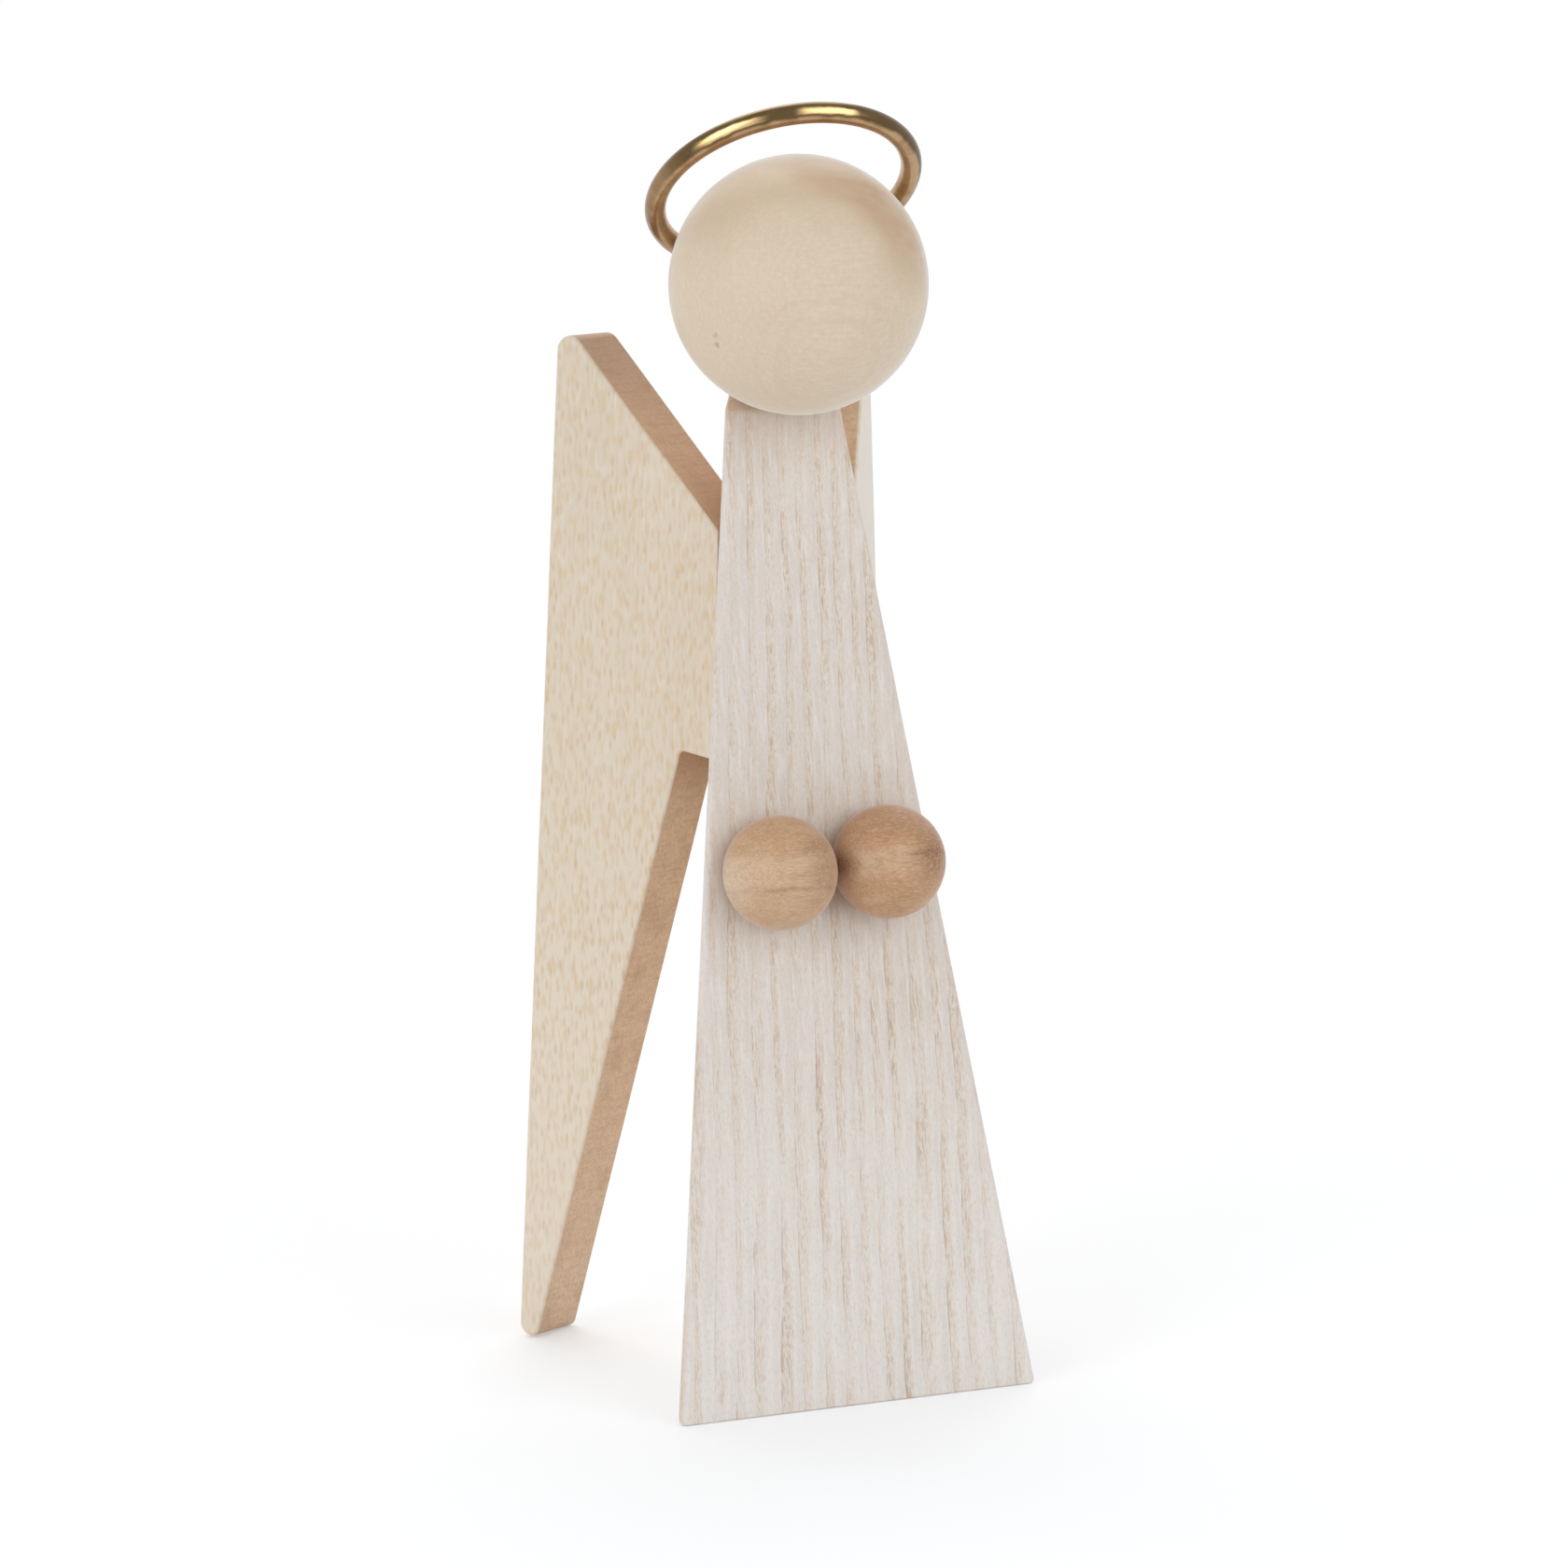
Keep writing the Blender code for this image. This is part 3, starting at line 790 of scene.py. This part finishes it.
def maple_finish():
    """Pale maple ball: cream with a painted tan band of shade, faint figure and two small specks.
    """
    wood = Finish("pale_maple_detailed", Matrix.Translation(head_place().translation))
    warp = wood.noise((14, 14, 14), detail=2.0)
    ripple = wood.noise((4.5, 2.0, 2.0), detail=2.0, shift=(6, 1, 3))
    # Painted shade: a tan band at a set depth along the direction towards the camera, strongest on
    # the upper right, stands for the shade between the front lamps and the light from behind.
    ahead = wood.plus(wood.along(wood.local, HEAD_SHADE_AXIS), wood.level(warp, -4.0, 4.0))
    ahead = wood.plus(ahead, wood.level(ripple, -1.5, 1.5))
    shade_band = wood.window(ahead, 2.0, 9.0, 12.0, 16.5)
    above = wood.span(wood.along(wood.local, HEAD_SHADED_SIDE), 5.0, 14.5)
    above = wood.math("MAXIMUM", above, wood.times(wood.span(wood.z, 1.0, 11.0), 0.35))
    tan = wood.times(wood.times(shade_band, above), wood.level(ripple, 0.5, 1.5))
    depth = wood.plus(wood.along(wood.local, HEAD_FIGURE), wood.level(warp, -1.2, 1.2))
    layers = wood.math("FRACT", wood.times(depth, 1 / HEAD_FIGURE_PITCH))
    figure = wood.window(layers, 0.0, 0.10, 0.20, 0.60)
    figure = wood.times(figure, wood.window(depth, 12.5, 15.0, 16.4, 17.0))
    fibres = wood.noise((3.0, 0.4, 0.4), detail=2.0)
    grit = wood.noise((0.5, 0.35, 0.9), detail=2.0, shift=(4, 4, 4))
    flecks, _ = wood.dashes((1.8, 0.6, 0.6), 0.20)

    colour = wood.mix(warp, srgb(231, 216, 193), srgb(226, 206, 179))
    colour = wood.tint(colour, tan, 0.88, srgb(199, 163, 126))
    colour = wood.tint(colour, figure, 0.11, srgb(203, 176, 144))
    colour = wood.tint(colour, wood.span(fibres, 0.3, 0.7), 0.22, srgb(206, 182, 152))
    colour = wood.tint(colour, wood.span(grit, 0.3, 0.7), 0.22, srgb(208, 186, 158))
    colour = wood.tint(colour, flecks, 0.22, srgb(196, 166, 134))
    for spot in HEAD_SPECKS:
        away = wood.apart(wood.local, spot * (HEAD_R * MM))
        ragged = wood.plus(away, wood.level(grit, -0.6, 0.6))
        speck = wood.less(wood.span(ragged, 0.05, 0.60))
        colour = wood.tint(colour, speck, 0.55, srgb(158, 116, 84))

    height = wood.math("SUBTRACT", wood.times(fibres, 0.5), wood.times(flecks, 0.3))
    return wood.finish(colour, wood.level(fibres, 0.46, 0.56), height, 0.02, sheen=1.0)


def oak_finish(side):
    """Tan turned ball: level growth bands, a thin broken line and dark ends of the grain, with
    painted light on its left side and painted shade where the balls meet.
    """
    grain = HAND_GRAIN[side]
    wood = Finish(f"tan_oak_detailed_{'left' if side < 0 else 'right'}", hand_place(side))
    drift = (side * 5.0, side * 8.0, 2.0)
    warp = wood.noise((5, 5, 5), detail=2.0, shift=drift)
    height_on = wood.plus(wood.y, wood.level(warp, -0.8, 0.8))
    top = wood.span(height_on, grain["dark_from"], grain["dark_from"] + 2.2)
    # Painted highlight: a lighter band across the ball's middle, fading out towards the right,
    # where the left lamp falls.
    pale = wood.window(height_on, -2.6, -1.0, 1.2, 3.0)
    pale = wood.times(pale, wood.less(wood.span(wood.x, -3.0, 3.5)))
    at = grain["line_at"]
    tilted = wood.plus(wood.plus(wood.y, wood.times(wood.x, 0.035)), wood.level(warp, -0.15, 0.15))
    line = wood.window(tilted, at - 0.55, at - 0.05, at + 0.03, at + 0.45)
    broken = wood.level(wood.span(wood.noise((2.6, 2.6, 2.6), shift=drift), 0.35, 0.65), 0.25, 1.0)
    line = wood.times(line, wood.times(broken, wood.level(wood.span(wood.x, -7.0, 1.0), 0.4, 1.0)))
    blotch = wood.noise((3.4, 1.8, 3.4), detail=3.0, shift=(1.0, side * 6.0, 5.0))
    bands = wood.noise((9.0, 0.55, 0.55), detail=2.0, shift=drift)
    fibres = wood.noise((2.2, 0.20, 0.20), detail=2.0, shift=drift)
    grit = wood.noise((0.90, 0.20, 0.30), detail=2.0, shift=drift)

    colour = wood.mix(warp, grain["light"], grain["deep"])
    colour = wood.tint(colour, top, 0.75, grain["band"])
    colour = wood.tint(colour, pale, 0.45, srgb(224, 196, 166))
    # Painted light: a pale rim low on the ball's left side, where the light catches it; on the
    # right ball it also lifts the side shaded by the left ball.
    rim = wood.less(wood.span(wood.x, -7.4, -5.0))
    rim = wood.times(rim, wood.less(wood.span(height_on, 0.5, 4.0)))
    colour = wood.tint(colour, rim, grain["rim"], srgb(232, 210, 186))
    colour = wood.tint(colour, wood.span(blotch, 0.52, 0.70), 0.35, srgb(226, 194, 162))
    colour = wood.tint(colour, wood.less(wood.span(blotch, 0.34, 0.50)), 0.30, srgb(180, 136, 99))
    colour = wood.tint(colour, wood.span(bands, 0.46, 0.66), 0.30, grain["band"])
    # Dark ends of the grain; the spots at the sides where the two balls meet are also painted
    # shade.
    for x, y, half_x, half_y, strength in grain["grain_ends_and_contact_shade"]:
        across = wood.math("DIVIDE", wood.math("SUBTRACT", wood.x, x), half_x)
        up = wood.math("DIVIDE", wood.math("SUBTRACT", height_on, y), half_y)
        away = wood.math("SQRT", wood.plus(wood.times(across, across), wood.times(up, up)))
        spot = wood.times(wood.less(wood.span(away, 0.1, 1.1)), wood.level(bands, 0.5, 1.3))
        colour = wood.tint(colour, spot, strength, srgb(128, 80, 46))
    colour = wood.tint(colour, wood.span(fibres, 0.30, 0.70), 0.44, srgb(170, 128, 92))
    colour = wood.tint(colour, wood.span(grit, 0.44, 0.66), 0.34, srgb(226, 190, 152))
    colour = wood.tint(colour, line, grain["line"], srgb(146, 100, 66))

    relief = wood.math("SUBTRACT", wood.times(fibres, 0.5), wood.times(line, 0.1))
    return wood.finish(colour, wood.level(fibres, 0.44, 0.54), relief, 0.02, sheen=0.45)


def brass_finish():
    """Aged brass wire, brown below, with painted reflections: dark olive outside for the dim room
    in front, and two painted highlights for the soft boxes.
    """
    metal = Finish("aged_brass_detailed", halo_place())
    squares = metal.plus(metal.times(metal.x, metal.x), metal.times(metal.y, metal.y))
    reach = metal.math("SQRT", squares)
    outward = metal.math("SUBTRACT", reach, HALO_R * MM)
    mottle = metal.noise((2.5, 2.5, 2.5), detail=4.0)
    marks = metal.noise((0.6, 0.6, 0.15), detail=3.0)
    turn = metal.plus(metal.math("ARCTAN2", metal.z, outward), metal.level(mottle, -0.25, 0.25))
    ahead = metal.less(metal.span(metal.y, -9.0, 1.0))
    above = metal.span(metal.z, 0.2, 1.1)
    # Painted reflections, on the front half only: a dark olive band outside stands for the dim
    # room mirrored in the wire, and two bright places for the soft boxes.
    outside = metal.window(turn, -1.20, -0.80, 0.40, 0.90)
    painted_highlights = metal.times(metal.window(turn, -0.85, -0.62, -0.22, 0.0), ahead)
    top_highlight = metal.window(metal.x, -5.8, -3.8, 2.0, 4.0)
    left_highlight = metal.window(metal.x, -17.0, -15.0, -11.5, -8.5)
    painted_highlights = metal.times(painted_highlights, metal.plus(top_highlight, left_highlight))

    colour = metal.mix(metal.span(mottle, 0.40, 0.65), srgb(186, 154, 117), srgb(168, 135, 100))
    colour = metal.tint(colour, above, 0.65, srgb(208, 176, 114))
    painted_dark_reflection = metal.times(outside, metal.level(ahead, 0.36, 0.90))
    colour = metal.mix(painted_dark_reflection, colour, srgb(76, 63, 40))
    colour = metal.tint(colour, painted_highlights, 0.95, srgb(238, 204, 146))
    colour = metal.tint(colour, marks, 0.20, srgb(140, 108, 72))
    metal.shader.inputs["Metallic"].default_value = 1.0
    return metal.finish(colour, metal.level(mottle, 0.16, 0.30), marks, 0.006)


def birch_finish():
    """Birch dowel stock: straight pale fibres and short pores."""
    wood = Finish("dowel_birch_detailed", Matrix.Identity(4))
    fibres = wood.noise((0.4, 0.4, 0.4), detail=3.0)
    pores, _ = wood.dashes((0.5, 0.5, 0.5), 0.3)
    colour = wood.mix(fibres, srgb(214, 190, 158), srgb(190, 160, 122))
    colour = wood.tint(colour, pores, 0.3, srgb(168, 134, 98))
    height = wood.math("SUBTRACT", fibres, pores)
    return wood.finish(colour, wood.level(fibres, 0.55, 0.65), height, 0.02)


# ---------------------------------------------------------------- pieces


def make_body():
    """Wedge with eased edges: long corners well rounded, foot and crown just broken."""
    rise = math.tan(CROWN_ANGLE)
    ridge_y = ridge_edge(1, 0).y
    ridge_slope = (ridge_edge(1, FRONT_H).y - ridge_y) / FRONT_H
    crown_y = front_edge(1, FRONT_H).y
    ridge_top = (FRONT_H + (ridge_y - crown_y) * rise) / (1 - ridge_slope * rise)
    foot = [front_edge(-1, 0), front_edge(1, 0), ridge_edge(1, 0), ridge_edge(-1, 0)]
    crown = [front_edge(-1, FRONT_H), front_edge(1, FRONT_H)]
    crown += [ridge_edge(1, ridge_top), ridge_edge(-1, ridge_top)]
    bm = bmesh.new()
    low = [bm.verts.new(point) for point in foot]
    high = [bm.verts.new(point) for point in crown]
    bm.faces.new(low)
    bm.faces.new(high)
    for index in range(4):
        after = (index + 1) % 4
        bm.faces.new((low[index], low[after], high[after], high[index]))
    weight = bm.edges.layers.float.new("bevel_weight_edge")
    for edge in bm.edges:
        edge[weight] = ARRIS_EASE / CORNER_EASE
    for index, first in enumerate(low):
        bm.edges.get((first, high[index]))[weight] = 1.0
        ease = FOOT_EASE if index % 2 else FOOT_SIDE_EASE
        bm.edges.get((first, low[index - 1]))[weight] = ease / CORNER_EASE
    body = mesh_object("figure_body", bm)
    ease_edges(body, CORNER_EASE, BODY_SEGMENTS, by_weight=True)
    tools = [hole(NECK_HOLE_R, HEAD_R, -NECK_HOLE_IN_BODY, neck_place())]
    for side in (-1, 1):
        tools.append(hole(HAND_HOLE_R, HAND_R, -HAND_HOLE_IN_BODY, hand_seat(side)))
        for seat in wing_hole_places(side):
            tools.append(hole(WING_HOLE_R, WING_HOLE_IN_WING, -WING_HOLE_IN_BODY, seat))
    cut_away(body, tools)
    sand(body, seed=0)
    show(body, "body", ash_finish())


def make_head():
    """Ball head with the halo's groove behind it."""
    neck_hole = (NECK_HOLE_R, NECK_HOLE_IN_HEAD)
    head = ball("figure_head", HEAD_R, HEAD_FLAT, neck_hole, HEAD_STEPS, head_place())
    cut_away(head, [ring("groove", HALO_GROOVE_R, halo_place())])
    show(head, "head", maple_finish())


def make_halo():
    """Brass wire ring."""
    halo = ring("figure_halo", HALO_WIRE_R, halo_place())
    settle(halo)
    show(halo, "halo", brass_finish(), sharp_angle=80.0)


def make_hand(side, name):
    """Ball hand with a flat at the body."""
    pin_hole = (HAND_HOLE_R, HAND_HOLE_IN_HAND)
    place = hand_place(side)
    hand = ball(f"figure_{name}_hand", HAND_R, HAND_FLAT, pin_hole, HAND_STEPS, place)
    settle(hand)
    show(hand, f"{name}_hand", oak_finish(side))


def rounded(points, radii):
    """Closed outline with each corner replaced by an arc of its own radius."""
    result = []
    for index, corner in enumerate(points):
        radius = radii[index]
        if not radius:
            result.append(corner)
            continue
        back = (points[index - 1] - corner).normalized()
        ahead = (points[(index + 1) % len(points)] - corner).normalized()
        half = back.angle(ahead) / 2
        centre = corner + (back + ahead).normalized() * (radius / math.sin(half))
        first = corner + back * (radius / math.tan(half)) - centre
        last = corner + ahead * (radius / math.tan(half)) - centre
        for step in range(CORNER_ARCS + 1):
            result.append(centre + first.slerp(last, step / CORNER_ARCS) * radius)
    return result


def wing_outline():
    """Corners of a wing in its own plane, from the root datum, tip first."""
    floor = -(WING_ROOT_Z - WING_TIP_GAP) / math.cos(WING_LEAN)
    tip = Vector((WING_REACH, floor))
    heel = tip - Vector((WING_TIP_W, 0))
    notch_z = -WING_TAB_DROP
    notch = Vector((heel.x - (notch_z - floor) * math.tan(WING_INNER_LEAN), notch_z))
    inside = -2 * WING_T
    tab = Vector((inside, notch_z - (notch.x - inside) * math.tan(WING_TAB_SLOPE)))
    cut_slope = 1 / math.tan(WING_TOP_CUT)
    shoulder = Vector((inside, WING_TOP_UP + inside * cut_slope))
    lean = math.tan(WING_OUTER_LEAN)
    top_z = (WING_TOP_UP + (tip.x + floor * lean) * cut_slope) / (1 + lean * cut_slope)
    top = Vector((tip.x - (top_z - floor) * lean, top_z))
    corners = [tip, heel, notch, tab, shoulder, top]
    radii = [WING_TIP_ROUND, WING_HEEL_ROUND, WING_NOTCH_ROUND, 0, 0, WING_TOP_ROUND]
    return rounded(corners, radii)


def make_wing(side, name):
    """Board cut to the outline, its root trimmed to the body's side."""
    place = wing_place(side)
    bm = bmesh.new()
    loops = []
    for depth in (0, side * WING_T):
        points = [Vector((corner.x, depth, corner.y)) for corner in wing_outline()]
        loop = [bm.verts.new(place @ point) for point in points]
        loops.append(loop)
        bm.faces.new(loop)
    front, rear = loops
    for index in range(len(front)):
        bm.faces.new((front[index - 1], front[index], rear[index], rear[index - 1]))
    normal = side_out(side)
    trim = front_edge(side, 0) + normal * FIT
    geometry = bm.verts[:] + bm.edges[:] + bm.faces[:]
    trimmed = bmesh.ops.bisect_plane(
        bm,
        geom=geometry,
        plane_co=trim,
        plane_no=normal,
        clear_inner=True,
    )
    rim = [item for item in trimmed["geom_cut"] if isinstance(item, bmesh.types.BMEdge)]
    bmesh.ops.edgenet_fill(bm, edges=rim)
    wing = mesh_object(f"figure_{name}_wing", bm)
    ease_edges(wing, WING_EASE, WING_SEGMENTS, by_weight=False)
    tools = []
    for seat in wing_hole_places(side):
        tools.append(hole(WING_HOLE_R, WING_HOLE_IN_WING, -WING_HOLE_IN_BODY, seat))
    cut_away(wing, tools)
    sand(wing, seed=side)
    show(wing, f"{name}_wing", beech_finish(side))


def finish_dowels():
    """Give the hidden CAD dowels their wood finish."""
    finish = birch_finish()
    for name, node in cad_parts.items():
        if "dowel" in name:
            node.material_slots[0].material = finish


# ---------------------------------------------------------------- stage, light and camera


def make_floor():
    """Plain white floor that keeps the figurine's shadow and fades to white far off.

    It fades for the camera and for what the brass mirrors, and lights the figurine as it is.
    """
    bpy.ops.mesh.primitive_circle_add(
        vertices=FLOOR_CORNERS,
        radius=FLOOR_R,
        fill_type="NGON",
        location=(0, 0, -FLOOR_GAP),
    )
    floor = bpy.context.object
    floor.name = "floor"
    material = bpy.data.materials.new("white_floor")
    material.use_nodes = True
    nodes, links = material.node_tree.nodes, material.node_tree.links
    shader = nodes["Principled BSDF"]
    shader.inputs["Roughness"].default_value = 0.9
    shader.inputs["Specular IOR Level"].default_value = 0.0
    coords = nodes.new("ShaderNodeTexCoord")
    reach = nodes.new("ShaderNodeVectorMath")
    reach.operation = "DISTANCE"
    links.new(coords.outputs["Object"], reach.inputs[0])
    reach.inputs[1].default_value = FLOOR_GLOW_FROM
    path = nodes.new("ShaderNodeLightPath")
    seen = path.outputs[SEEING_RAYS[0]]
    for rays in SEEING_RAYS[1:]:
        either = nodes.new("ShaderNodeMath")
        either.operation = "MAXIMUM"
        links.new(seen, either.inputs[0])
        links.new(path.outputs[rays], either.inputs[1])
        seen = either.outputs[0]

    def by_reach(low, high):
        """Value from low near the figurine to high far off, and none for rays of light."""
        fade = nodes.new("ShaderNodeMapRange")
        fade.interpolation_type = "SMOOTHSTEP"
        settings = {"From Min": FLOOR_NEAR, "From Max": FLOOR_FAR, "To Min": low, "To Max": high}
        for name, value in settings.items():
            fade.inputs[name].default_value = value
        links.new(reach.outputs["Value"], fade.inputs["Value"])
        only = nodes.new("ShaderNodeMath")
        only.operation = "MULTIPLY"
        links.new(fade.outputs["Result"], only.inputs[0])
        links.new(seen, only.inputs[1])
        return only.outputs[0]

    shader.inputs["Emission Color"].default_value = (1.0, 1.0, 1.0, 1.0)
    links.new(by_reach(FLOOR_GLOW, 1.0), shader.inputs["Emission Strength"])
    blend = nodes.new("ShaderNodeMix")
    blend.data_type = "RGBA"
    blend.inputs[6].default_value = FLOOR_WHITE
    blend.inputs[7].default_value = (0.0, 0.0, 0.0, 1.0)
    links.new(by_reach(0.0, 1.0), blend.inputs[0])
    links.new(blend.outputs[2], shader.inputs["Base Color"])
    floor.data.materials.append(material)


def make_world():
    """White backdrop behind the figurine and a dimmer room in front, which only light it.

    The camera, and the brass with it, see plain white all round.
    """
    world = bpy.data.worlds.new("studio")
    bpy.context.scene.world = world
    world.use_nodes = True
    nodes, links = world.node_tree.nodes, world.node_tree.links
    coords = nodes.new("ShaderNodeTexCoord")
    split = nodes.new("ShaderNodeSeparateXYZ")
    links.new(coords.outputs["Generated"], split.inputs[0])
    path = nodes.new("ShaderNodeLightPath")

    white = nodes["Background"]
    white.inputs["Color"].default_value = (1.0, 1.0, 1.0, 1.0)
    white.inputs["Strength"].default_value = 1.0
    strength = nodes.new("ShaderNodeMapRange")
    strength.interpolation_type = "SMOOTHSTEP"
    strength.inputs["From Min"].default_value = ROOM_FRONT_TO
    strength.inputs["From Max"].default_value = ROOM_BACK_FROM
    strength.inputs["To Min"].default_value = ROOM_FRONT
    strength.inputs["To Max"].default_value = ROOM_BACK
    links.new(split.outputs["Y"], strength.inputs["Value"])
    result = nodes.new("ShaderNodeBackground")
    links.new(strength.outputs["Result"], result.inputs["Strength"])
    for rays in SEEING_RAYS:
        blend = nodes.new("ShaderNodeMixShader")
        links.new(path.outputs[rays], blend.inputs[0])
        links.new(result.outputs[0], blend.inputs[1])
        links.new(white.outputs[0], blend.inputs[2])
        result = blend
    links.new(result.outputs[0], nodes["World Output"].inputs["Surface"])


def soft_box(name, azimuth, elevation, size, power):
    """Rectangular area lamp turned to the figurine, azimuth 0 in front and 90 on its right."""
    lamp = bpy.data.lights.new(name, "AREA")
    lamp.shape = "RECTANGLE"
    lamp.size, lamp.size_y = size
    lamp.energy = power
    item = bpy.data.objects.new(name, lamp)
    bpy.context.scene.collection.objects.link(item)
    turn, rise = math.radians(azimuth), math.radians(elevation)
    level = Vector((math.sin(turn), -math.cos(turn), 0))
    out = level * math.cos(rise) + Vector((0, 0, math.sin(rise)))
    item.location = LIGHTS_AIM + out * LIGHTS_AWAY
    item.rotation_euler = (-out).to_track_quat("-Z", "Y").to_euler()


def make_lights():
    """Soft boxes on the left and right of the camera, and one above the backdrop."""
    soft_box("left_box", **LEFT_BOX)
    soft_box("right_box", **RIGHT_BOX)
    soft_box("back_box", **BACK_BOX)


def make_camera():
    """Camera at the photograph's viewing angle."""
    data = bpy.data.cameras.new("photo_camera")
    data.lens = CAMERA_LENS
    data.sensor_width = CAMERA_SENSOR
    data.clip_start, data.clip_end = CAMERA_CLIP
    camera = bpy.data.objects.new("photo_camera", data)
    bpy.context.scene.collection.objects.link(camera)
    camera.location = CAMERA_AT
    camera.rotation_euler = CAMERA_FORWARD.to_track_quat("-Z", "Y").to_euler()
    bpy.context.scene.camera = camera


def main():
    """Dress the frame, set the stage and look at it as the photograph does."""
    make_body()
    make_head()
    make_halo()
    for side, name in ((-1, "left"), (1, "right")):
        make_hand(side, name)
        make_wing(side, name)
    finish_dowels()
    make_floor()
    make_world()
    make_lights()
    make_camera()
    bpy.context.scene.view_settings.view_transform = "Standard"


main()
